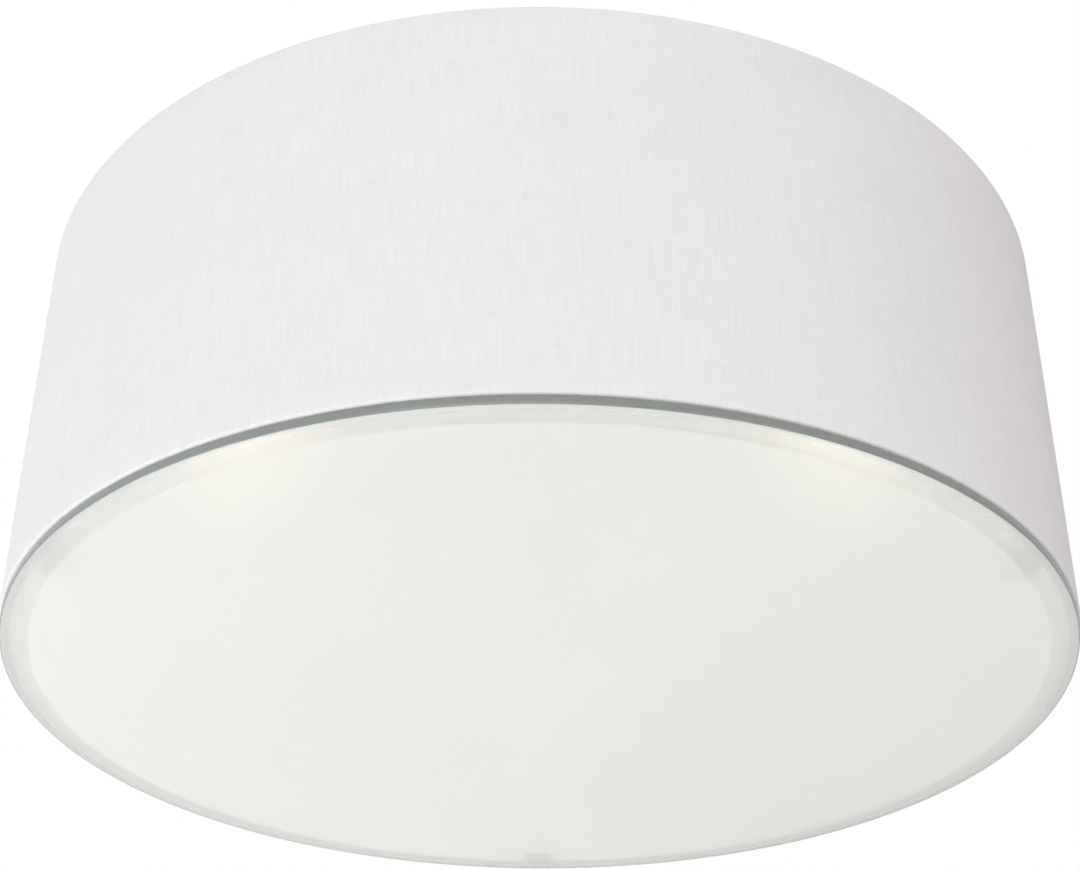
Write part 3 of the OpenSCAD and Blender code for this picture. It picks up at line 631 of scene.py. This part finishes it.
# one finish for each material slot: name, colour, roughness, then what is special to it
finishes = {
    "white_linen": linenMaterial(),
    "white_liner": linerMaterial(),
    "satin_glass": etchedMaterial(fullEtch),
    "white_paint": paintedMaterial("whitePaint", (0.85, 0.85, 0.84), 0.42),
    "zinc_steel": metalMaterial("zincSteel", (0.68, 0.69, 0.7), 0.36, blotch=90),
    "nickel": metalMaterial("nickelPlate", (0.74, 0.72, 0.68), 0.22, blotch=40, brushed=(1, 1, 12)),
    "brass": metalMaterial("turnedBrass", (0.8, 0.6, 0.28), 0.26, blotch=50),
    "brass_screw": metalMaterial("brassScrew", (0.72, 0.7, 0.64), 0.32, blotch=80),
    "white_nylon": mouldedMaterial("whiteNylon", (0.8, 0.8, 0.77), 0.48),
    "white_holder": mouldedMaterial("holderPlastic", (0.84, 0.84, 0.82), 0.3),
    "ceramic": mouldedMaterial("glazedCeramic", (0.82, 0.8, 0.74), 0.2),
    "grey_rubber": mouldedMaterial("greyRubber", (0.1, 0.1, 0.1), 0.65, bump=0.15),
    "lead_sheath": mouldedMaterial("leadSheath", (0.78, 0.78, 0.76), 0.42),
    "earth_sheath": earthMaterial(),
    "cap_insulator": mouldedMaterial("capInsulator", (0.03, 0.03, 0.03), 0.12),
    "bulb_plastic": mouldedMaterial("bulbPlastic", (0.86, 0.86, 0.85), 0.34),
    "board_aluminium": paintedMaterial("boardAluminium", (0.8, 0.8, 0.76), 0.35),
    "bulb_opal": opalMaterial(),
}
glassEdge = groundEdgeMaterial()
glassRims = [etchedMaterial(ring) for ring in rimRings]
print("materials ready")


def dressNodes():
    for name, node in nodes.items():
        node.data.materials.clear()
        node.data.materials.append(finishes[slotOf[name]])
    print("frame dressed", len(nodes))


dressNodes()


# the leads: white sheaths from the lampholders to the terminal block, and the earth lead
leadRoutes = {
    "lamp_lead_1": [
        (0, 0.043, -0.066), (0, 0.034, -0.066), (0, 0.025, -0.066), (0, 0.018, -0.064),
        (0, 0.012, -0.059), (0, 0.009, -0.052), (0, 0.008, -0.044), (0, 0.007, -0.035),
        (0, 0.005, -0.026), (0, 0.001, -0.018), (0, -0.006, -0.012), (0, -0.015, -0.009),
        (0, -0.026, -0.009), (0, -0.037, -0.009), (0, -0.048, -0.009), (0, -0.0595, -0.009)],
    "lamp_lead_2": [
        (-0.0372, -0.0215, -0.066), (-0.0294, -0.017, -0.066), (-0.0217, -0.0125, -0.066),
        (-0.0156, -0.009, -0.064), (-0.0104, -0.006, -0.059), (-0.0078, -0.0045, -0.052),
        (-0.007, -0.0045, -0.044), (-0.007, -0.005, -0.035), (-0.008, -0.007, -0.026),
        (-0.009, -0.011, -0.018), (-0.01, -0.018, -0.012), (-0.011, -0.027, -0.009),
        (-0.012, -0.037, -0.009), (-0.012, -0.048, -0.009), (-0.012, -0.0595, -0.009)],
    "earth_lead": [
        (0.019, -0.07, -0.009), (0.023, -0.07, -0.009), (0.027, -0.07, -0.0084),
        (0.031, -0.07, -0.0066), (0.035, -0.07, -0.0044), (0.039, -0.07, -0.0035)],
}
leadRoutes["lamp_lead_3"] = [(-x, y, z) for x, y, z in leadRoutes["lamp_lead_2"]]
sheath = {
    "diameters": {"lead_sheath": 0.004, "earth_sheath": 0.0026},
    "roundness": 6,
    "smoothness": 8,
    "order": 4,
}


def makeLead(name, route):
    slot = slotOf[name]
    diameter = sheath["diameters"][slot]
    line = bpy.data.curves.new(name + "_line", "CURVE")
    line.dimensions = "3D"
    line.bevel_depth = diameter / 2
    line.bevel_resolution = sheath["roundness"]
    line.resolution_u = sheath["smoothness"]
    line.use_fill_caps = True
    spline = line.splines.new("NURBS")
    spline.points.add(len(route) - 1)
    for point, place in zip(spline.points, route):
        point.co = (*place, 1)
    spline.order_u = sheath["order"]
    spline.use_endpoint_u = True
    lead = bpy.data.objects.new(name + "_sheath", line)
    bpy.context.collection.objects.link(lead)
    line.materials.append(finishes[slot])
    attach(lead, "fixture")
    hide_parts(name)


for leadName, route in leadRoutes.items():
    makeLead(leadName, route)
print("leads laid", len(leadRoutes))


# the shade's cloth: a flat cut wrapped round the liner and rolled over both rings
clothCut = {
    "wallRadius": 0.2,
    "wallBand": 0.0002,  # what lies this near to the wall's radius is wall
    "thickness": 0.00045,
    "columns": 317,
    "wallRows": 26,
    "roll": 0.0011,
    "rollSteps": 5,
    "wireRadius": 0.19705,
    "hemRadius": 0.00235,
    "hemSteps": 14,
    "tuckAngle": 60,
    "seamAngle": 90,
    "overlap": 0.012,
    "seamEase": 0.006,
    "lapColumns": 3,
    "wave": 0.00008,
    "wavesRound": 3,
    "wavesUp": 14,
    "waveInward": 0.5,
    "notchTop": 0.012,
    "notchBottom": 0.018,
    "hemKept": 0.0012,
    "smoothAngle": 50,
}


def rolledProfile(low, high):
    # the cloth's path in radius and height, from its tuck over the bottom ring to that under the top one
    cut = clothCut
    outer, roll, hem, wire = cut["wallRadius"], cut["roll"], cut["hemRadius"], cut["wireRadius"]
    path = arcPoints(wire, low + hem, hem, cut["tuckAngle"], 270, cut["hemSteps"])
    path += arcPoints(outer - roll, low + roll, roll, 270, 360, cut["rollSteps"])
    rise = high - low - 2 * roll
    path += [(outer, low + roll + rise * row / cut["wallRows"]) for row in range(1, cut["wallRows"])]
    path += arcPoints(outer - roll, high - roll, roll, 0, 90, cut["rollSteps"])
    path += arcPoints(wire, high - hem, hem, 90, 360 - cut["tuckAngle"], cut["hemSteps"])
    return path


def wrapCloth(mesh, path, run, width):
    # bends the flat grid along the path, and keeps each point's place on the flat cut as its UV
    cut = clothCut
    flat = []
    for vertex in mesh.vertices:
        row = round((vertex.co.y + 0.5) * (len(path) - 1))
        along = (vertex.co.x + 0.5) * width
        flat.append((along, run[row]))
        radius, z = path[row]
        angle = math.radians(cut["seamAngle"]) + (along - cut["overlap"] / 2) / cut["wallRadius"]
        # the last stretch lies over the first edge and hides it
        if radius > cut["wallRadius"] - cut["wallBand"]:
            over = min(1, max(0, (along - (width - cut["overlap"] - cut["seamEase"])) / cut["seamEase"]))
            around, up = cut["wavesRound"], cut["wavesUp"]
            ripple = noise.noise(Vector((math.cos(angle) * around, math.sin(angle) * around, z * up)))
            radius += over * cut["thickness"] - cut["wave"] * (ripple + cut["waveInward"])
        vertex.co = (radius * math.cos(angle), radius * math.sin(angle), z)
    uv = mesh.uv_layers[0]
    uv.name = "cloth"
    for loop in mesh.loops:
        uv.data[loop.index].uv = flat[loop.vertex_index]


def trimCloth(cloth, low, high):
    cut = clothCut

    def cutAway(face):
        # where the ends of the cloth lap, the turned-in part is trimmed to one layer
        radius = math.hypot(face.center.x, face.center.y)
        lapped = face.index % cut["columns"] >= cut["columns"] - cut["lapColumns"]
        if lapped and radius < cut["wallRadius"] - cut["wallBand"]:
            return True
        # elsewhere it is notched for the frame's studs at the top and the magnets at the bottom
        angles, notch, hem = studAngles, cut["notchTop"], high
        if face.center.z <= (low + high) / 2:
            angles, notch, hem = magnetAngles, cut["notchBottom"], low
        angle = math.degrees(math.atan2(face.center.y, face.center.x))
        off = min(abs((angle - a + 180) % 360 - 180) for a in angles)
        tuckedIn = radius < cut["wireRadius"] and abs(face.center.z - hem) > cut["hemKept"]
        return tuckedIn and math.radians(off) * radius < notch / 2

    selectWhere(cloth, "FACE", cutAway)
    bpy.ops.mesh.delete(type="FACE")
    bpy.ops.object.mode_set(mode="OBJECT")


def makeCloth():
    cut = clothCut
    low, high = (corner[2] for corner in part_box("shade_fabric"))
    path = rolledProfile(low, high)
    run = [0]
    for (r0, z0), (r1, z1) in zip(path, path[1:]):
        run.append(run[-1] + math.hypot(r1 - r0, z1 - z0))
    width = 2 * math.pi * cut["wallRadius"] + cut["overlap"]
    clearSelection()
    bpy.ops.mesh.primitive_grid_add(x_subdivisions=cut["columns"], y_subdivisions=len(path) - 1, size=1)
    cloth = bpy.context.object
    wrapCloth(cloth.data, path, run, width)
    trimCloth(cloth, low, high)
    wall = cloth.modifiers.new("thickness", "SOLIDIFY")
    wall.thickness = cut["thickness"]
    wall.offset = -1
    applyModifier(cloth, wall)
    finishPiece(cloth, "linen_shade", "fixture", finishes["white_linen"], cut["smoothAngle"])
    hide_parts("shade_fabric")
    print("cloth wrapped", round(width, 4), "by", round(run[-1], 4))


makeCloth()


# the glass: a float disc with ground edges, satin on its faces
glassDisc = {
    "segments": 256,
    "arris": 0.0004,
    "arrisSteps": 3,
    "insets": [0.012, 0.03, 0.05, 0.05],
    "faceTilt": 0.99,  # a face whose normal is steeper than this is one of the two flats
    "smoothAngle": 30,
}


def makeGlass():
    look = glassDisc
    low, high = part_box("diffuser_glass")
    radius, depth = high[0], high[2] - low[2]
    clearSelection()
    bpy.ops.mesh.primitive_cylinder_add(
        vertices=look["segments"], radius=radius, depth=depth, location=(0, 0, (low[2] + high[2]) / 2))
    disc = bpy.context.object
    selectWhere(disc, "EDGE", lambda a, b: abs(a.z - b.z) < depth / 2)
    bpy.ops.mesh.bevel(offset=look["arris"], segments=look["arrisSteps"], profile=0.5)
    selectWhere(disc, "FACE", lambda face: abs(face.normal.z) > look["faceTilt"])
    for inset in [ring["width"] for ring in rimRings] + look["insets"]:
        bpy.ops.mesh.inset(thickness=inset)
    finishPiece(disc, "satin_glass_disc", "diffuser", finishes["satin_glass"], look["smoothAngle"])
    for material in [glassEdge, *glassRims]:
        disc.data.materials.append(material)
    for face in disc.data.polygons:
        if abs(face.normal.z) < look["faceTilt"]:
            face.material_index = 1
            continue
        inward = radius - math.hypot(*face.center.xy)
        for index, ring in enumerate(rimRings, 2):
            if 0 < inward < ring["width"]:
                face.material_index = index
            inward -= ring["width"]
    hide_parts("diffuser_glass")
    print("glass made")


makeGlass()


# the lamps and their holders: each is turned once on the lamp's own axis and copied three times
lamp = {
    "axisHeight": -0.066,
    "holderBack": 0.032,
    "contact": 0.0203,
    "bulbRadius": 0.03,
    "domeCentre": 0.072,
    "domeStart": 0.062,
    "wall": 0.0012,
    "capRadius": 0.0132,
    "threadDepth": 0.0009,
    "capStart": 0.0055,
    "capEnd": 0.026,
}


def lampPlace(angle, along):
    stand = Matrix.Translation((lamp["holderBack"] + along, 0, lamp["axisHeight"]))
    return Matrix.Rotation(math.radians(angle), 4, "Z") @ stand @ Matrix.Rotation(math.radians(90), 4, "Y")


def copyToLamps(master, title, node, body, slot, along=lamp["contact"], extras=()):
    for number, angle in enumerate(lampAngles, 1):
        piece = placedCopy(master, lampPlace(angle, along))
        faces = [face.material_index for face in piece.data.polygons]
        finishPiece(piece, f"{title}_{number}", body.format(number), finishes[slot])
        for extra in extras:
            piece.data.materials.append(finishes[extra])
        for face, index in zip(piece.data.polygons, faces):
            face.material_index = index
        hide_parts(f"{node}_{number}")
    bpy.data.objects.remove(master)


dome = {"outerSteps": 28, "innerSteps": 20}


def makeDomes():
    centre, outer, inner = lamp["domeCentre"], lamp["bulbRadius"], lamp["bulbRadius"] - lamp["wall"]
    rise = centre - lamp["domeStart"]
    outerStart = -math.degrees(math.asin(rise / outer))
    innerStart = -math.degrees(math.asin(rise / inner))
    points = arcPoints(0, centre, outer, 90, outerStart, dome["outerSteps"])
    points += arcPoints(0, centre, inner, innerStart, 90, dome["innerSteps"])
    copyToLamps(turnOnLathe(points), "opal_dome", "bulb_dome", "bulb_{}", "bulb_opal")


# the body swells from the cap to the dome in one smooth curve
lampBody = {
    "aboveCap": 0.00005,
    "widerThanCap": 0.0006,
    "flatStart": 0.0006,
    "corner": 0.00015,
    "straight": 0.0005,
    "swellSteps": 24,
    "swellStart": 0.2,  # the curve's first slope
    "seam": 0.0003,
    "recess": 0.0015,
}


def swelling(share, first, firstSlope, last, lastSlope):
    square, cube = share ** 2, share ** 3
    leaving = first * (2 * cube - 3 * square + 1) + firstSlope * (cube - 2 * square + share)
    arriving = last * (3 * square - 2 * cube) + lastSlope * (cube - square)
    return leaving + arriving


def makeBodies():
    look = lampBody
    start, end = lamp["capEnd"] + look["aboveCap"], lamp["domeStart"]
    rise = lamp["domeCentre"] - end
    first = lamp["capRadius"] + look["widerThanCap"]
    last = math.sqrt(lamp["bulbRadius"] ** 2 - rise ** 2)
    length, straight, corner = end - start, look["straight"], look["corner"]
    points = [(0, start), (first - look["flatStart"], start), (first - corner, start + corner)]
    for step in range(look["swellSteps"]):
        share = step / look["swellSteps"]
        radius = swelling(share, first, look["swellStart"] * length, last, rise / last * length)
        points.append((radius, start + straight + (length - straight) * share))
    seam, inner, floor = last - look["seam"], last - 2 * lamp["wall"], end - look["recess"]
    points += [(seam, end - look["seam"]), (seam, end), (inner, end), (inner, floor), (0, floor)]
    copyToLamps(turnOnLathe(points), "lamp_body", "bulb_body", "bulb_{}", "bulb_plastic")


# the cap: one pitch of its rolled thread is wound up by the screw modifier, then gets a plain skirt
cap = {
    "pitch": 0.00363,
    "turns": 4,
    "waveSteps": 12,
    "segments": 64,
    # the skirt's outline, outwards from the thread's root and upwards from the place named
    "atStart": [(-0.0008, -0.0004), (-0.0001, 0.0002)],
    "atThreadEnd": [(-0.00002, -0.001), (0, 0.001)],
    "atEnd": [(0, -0.0011), (0.0003, -0.0008), (0.0003, -0.0004), (0, -0.0001), (-0.001, 0)],
}


def makeCaps():
    root, start, end = lamp["capRadius"] - lamp["threadDepth"], lamp["capStart"], lamp["capEnd"]
    pitch, steps = cap["pitch"], cap["waveSteps"]
    wave = []
    for step in range(steps + 1):
        crest = lamp["threadDepth"] / 2 * (1 - math.cos(2 * math.pi * step / steps))
        wave.append((root + crest, start - pitch + pitch * step / steps))
    thread = drawProfile(wave)
    winding = thread.modifiers.new("thread", "SCREW")
    winding.screw_offset = pitch
    winding.iterations = cap["turns"]
    winding.steps = winding.render_steps = cap["segments"]
    winding.use_merge_vertices = True
    applyModifier(thread, winding)
    closedUp(thread)
    bpy.ops.object.mode_set(mode="EDIT")
    bpy.ops.mesh.select_all(action="SELECT")
    bpy.ops.mesh.fill_holes(sides=0)
    bpy.ops.object.mode_set(mode="OBJECT")
    outline = []
    threadEnd = start + pitch * cap["turns"]
    for height, edge in ((start, "atStart"), (threadEnd, "atThreadEnd"), (end, "atEnd")):
        outline += [(root + out, height + up) for out, up in cap[edge]]
    skirt = turnOnLathe(outline, cap["segments"])
    takeUp(thread)
    skirt.select_set(True)
    bpy.ops.object.join()
    copyToLamps(thread, "thread_cap", "bulb_cap", "bulb_{}", slotOf["bulb_cap_1"])


# the foot: a black insulator that fills the cap's end, with the contact button in its middle
foot = {
    "gap": 0.0005,
    "button": 0.0045,
    "buttonHeight": 0.0016,
    "buttonFlat": 0.0012,  # inwards from the button's edge
    "buttonRound": 0.0008,
    "roundSteps": 5,
    "crown": 0.0001,
    "chamferIn": 0.0006,
    "chamferUp": 0.0004,
    "depth": 0.003,
    "segments": 64,
}


def makeFeet():
    radius, start = lamp["capRadius"] - lamp["threadDepth"] - foot["gap"], lamp["capStart"]
    edge, top, rounding, crown = foot["button"], foot["buttonHeight"], foot["buttonRound"], foot["crown"]
    points = [(0, 0), (edge - foot["buttonFlat"], crown)]
    points += arcPoints(edge - rounding, rounding + crown, rounding, -80, 0, foot["roundSteps"])
    points += [(edge, top), (edge + rounding, top + crown)]
    points += [(radius - foot["chamferIn"], start - foot["chamferUp"]), (radius, start)]
    points += [(radius, start + foot["depth"]), (0, start + foot["depth"])]
    master = turnOnLathe(points, foot["segments"])
    for face in master.data.polygons:
        face.material_index = 1 if face.center.z < top and math.hypot(*face.center.xy) <= edge else 0
    copyToLamps(master, "contact_foot", "bulb_foot", "bulb_{}", "cap_insulator", extras=("zinc_steel",))


holder = {
    "radius": 0.0202,
    "backRadius": 0.011,
    "backSteps": 12,
    "length": 0.044,
    "wall": 0.002,
    "bore": 0.0051,
    "floor": 0.006,
    "rim": 0.0006,
    "rimSteps": 4,
    "chamfer": 0.0003,
    "grooveStart": 0.0152,
    "groove": 0.0004,
}


def makeHolders():
    radius, back, bore, length = holder["radius"], holder["backRadius"], holder["bore"], holder["length"]
    start, groove, rim, chamfer = holder["grooveStart"], holder["groove"], holder["rim"], holder["chamfer"]
    shoulder = radius - back
    inner = radius - holder["wall"]
    points = [(bore, chamfer), (bore + chamfer, 0), (back, 0)]
    points += arcPoints(back, shoulder, shoulder, -80, 0, holder["backSteps"])
    points += [(radius, start), (radius - groove, start + groove)]
    points += [(radius - groove, start + 2 * groove), (radius, start + 3 * groove), (radius, length - rim)]
    points += arcPoints(radius - rim, length - rim, rim, 15, 90, holder["rimSteps"])
    points += [(inner + chamfer, length), (inner, length - chamfer)]
    points += [(inner, holder["floor"]), (bore, holder["floor"]), points[0]]
    copyToLamps(turnOnLathe(points), "holder_shell", "lampholder", "fixture", "white_holder", along=0)


makeDomes()
makeBodies()
makeCaps()
makeFeet()
makeHolders()
print("lamps and holders turned")


# pressed, cut and moulded pieces: the frame's own shapes with their edges broken by these widths
brokenEdges = {
    "lamp_bracket_1": 0.0003, "lamp_bracket_2": 0.0003, "lamp_bracket_3": 0.0003,
    "terminal_block": 0.0004, "lead_clip": 0.0003, "earth_tag": 0.00015,
    "bracket_screws": 0.0002, "block_screws": 0.0002, "terminal_screws": 0.00015, "earth_screw": 0.0002,
    "nipple_nuts": 0.0002, "frame_washers": 0.0002, "shade_studs": 0.00015,
    "magnet_cups": 0.0002, "keeper_discs": 0.0002,
    "thumb_nut_1": 0.0002, "thumb_nut_2": 0.0002, "thumb_nut_3": 0.0002,
}
edgeBreak = {
    "flatWithin": 0.5,
    "sharpFrom": 35,
    "segments": 2,
    "smoothAngle": 30,
}


def breakEdges(name, width):
    node = nodes[name]
    piece = placedCopy(node, node.matrix_world.copy())
    closedUp(piece)
    bpy.ops.object.mode_set(mode="EDIT")
    bpy.ops.mesh.select_all(action="SELECT")
    bpy.ops.mesh.dissolve_limited(angle_limit=math.radians(edgeBreak["flatWithin"]))
    bpy.ops.object.mode_set(mode="OBJECT")
    edge = piece.modifiers.new("edge", "BEVEL")
    edge.width = width
    edge.segments = edgeBreak["segments"]
    edge.limit_method = "ANGLE"
    edge.angle_limit = math.radians(edgeBreak["sharpFrom"])
    edge.harden_normals = True
    applyModifier(piece, edge)
    body, slot = body_of(node)[0], slotOf[name]
    finishPiece(piece, name + "_finished", body, finishes[slot], edgeBreak["smoothAngle"])
    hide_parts(name)


for pieceName, width in brokenEdges.items():
    breakEdges(pieceName, width)
print("edges broken", len(brokenEdges))


# the pale floor lies far below the light
paleFloor = {
    "height": -1.85,
    "radius": 7,
    "sides": 96,
    "light": (0.86, 0.86, 0.86),
    "dark": (0.83, 0.83, 0.83),
    "cloud": {"scale": 3},
    "rough": 0.8,
}


def makeFloor():
    look = paleFloor
    clearSelection()
    bpy.ops.mesh.primitive_circle_add(
        vertices=look["sides"], radius=look["radius"], fill_type="NGON", location=(0, 0, look["height"]))
    floor = bpy.context.object
    floor.name = "floor"
    w = Finish("paleFloor")
    w.colour(w.mix(w.noise(w.coordinates(), **look["cloud"]), look["light"], look["dark"]))
    w.set(Roughness=look["rough"])
    floor.data.materials.append(w.material)
    print("floor laid")


makeFloor()
